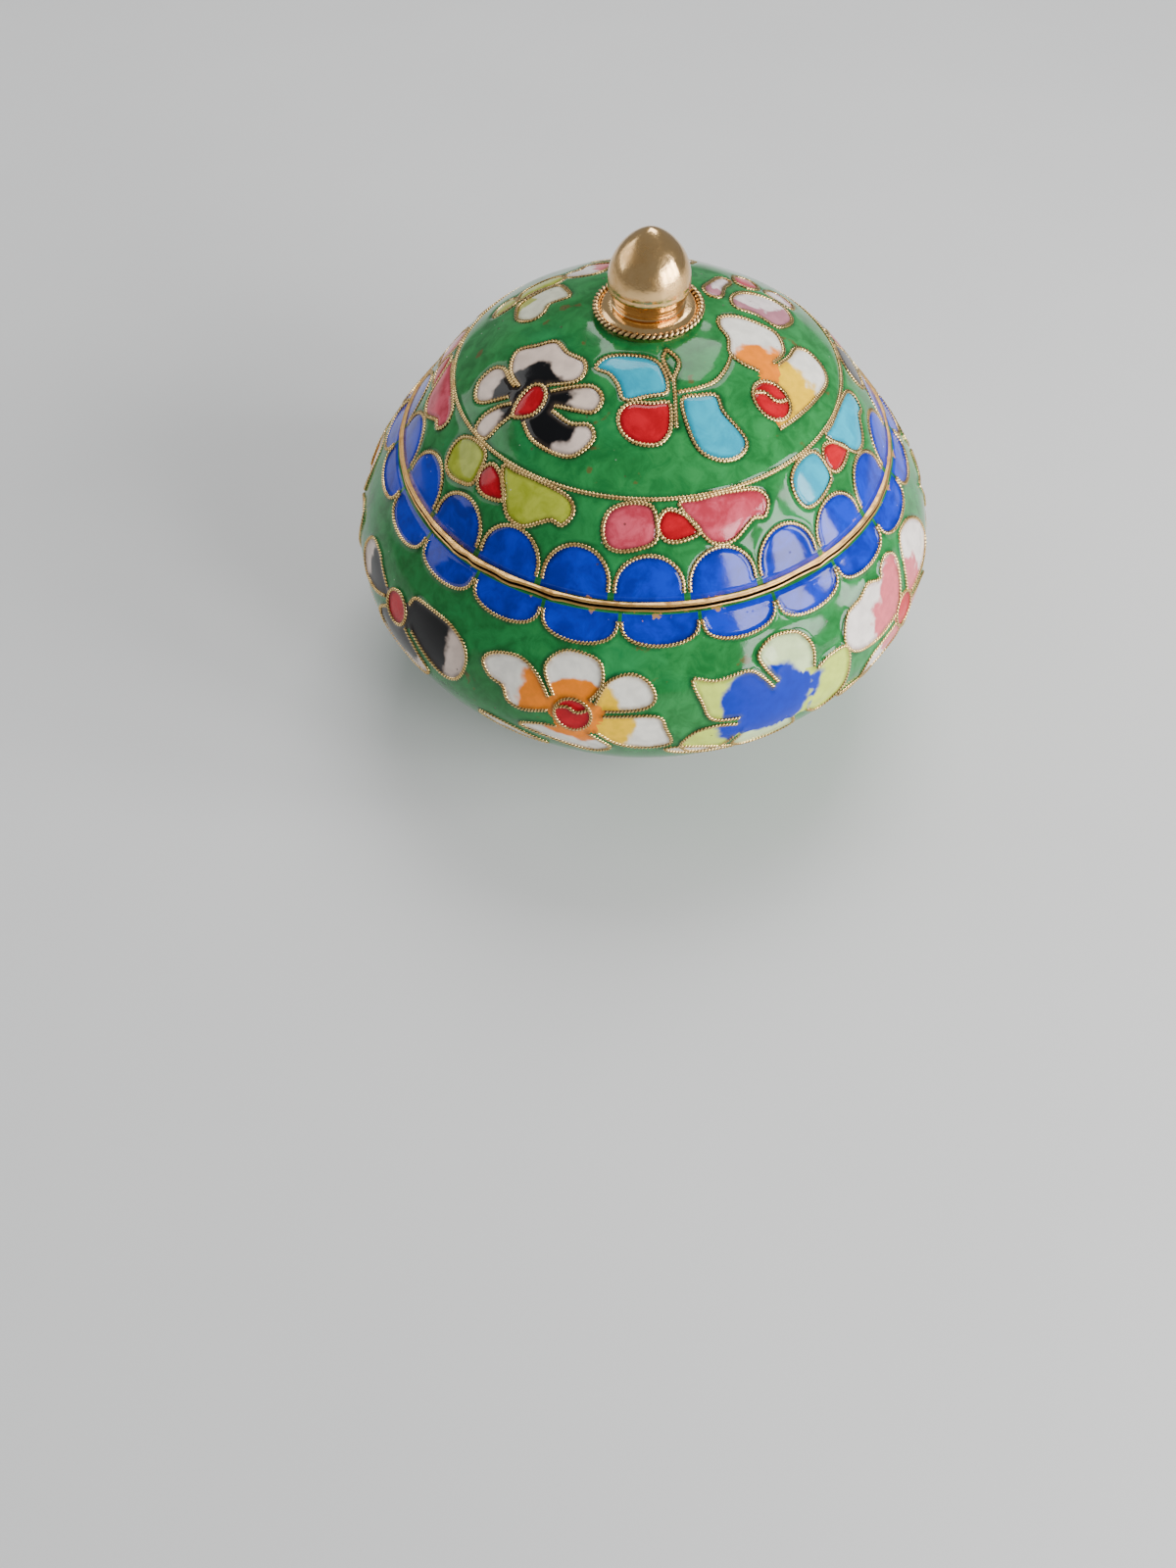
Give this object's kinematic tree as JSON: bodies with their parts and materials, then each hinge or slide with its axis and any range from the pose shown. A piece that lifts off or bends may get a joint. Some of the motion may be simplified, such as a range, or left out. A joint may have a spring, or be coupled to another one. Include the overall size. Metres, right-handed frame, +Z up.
{
  "type": "cloisonne enamel box",
  "caption": "Small round lidded box in green cloisonne enamel with flower and leaf cells, blue scallop borders, brass rims and a turned brass knob",
  "frame": {"origin": "bottom centre of the foot ring, on the surface the box stands on", "axes": "+Z up along the box's axis of revolution, -Y towards the front of the picture, +X to its right"},
  "size_m": [0.06, 0.0599, 0.0492],
  "materials": {
    "enamel": "glossy vitreous enamel over copper",
    "gilt_rim": "worn gilding",
    "polished_brass": "polished, slightly dulled"
  },
  "bodies": {
    "root": {"bowl": "enamel", "lid": "enamel", "bowl_rim": "gilt_rim", "lid_rim": "gilt_rim", "foot_ring": "gilt_rim", "knob_collar": "polished_brass", "knob": "polished_brass"}
  },
  "joints": []
}
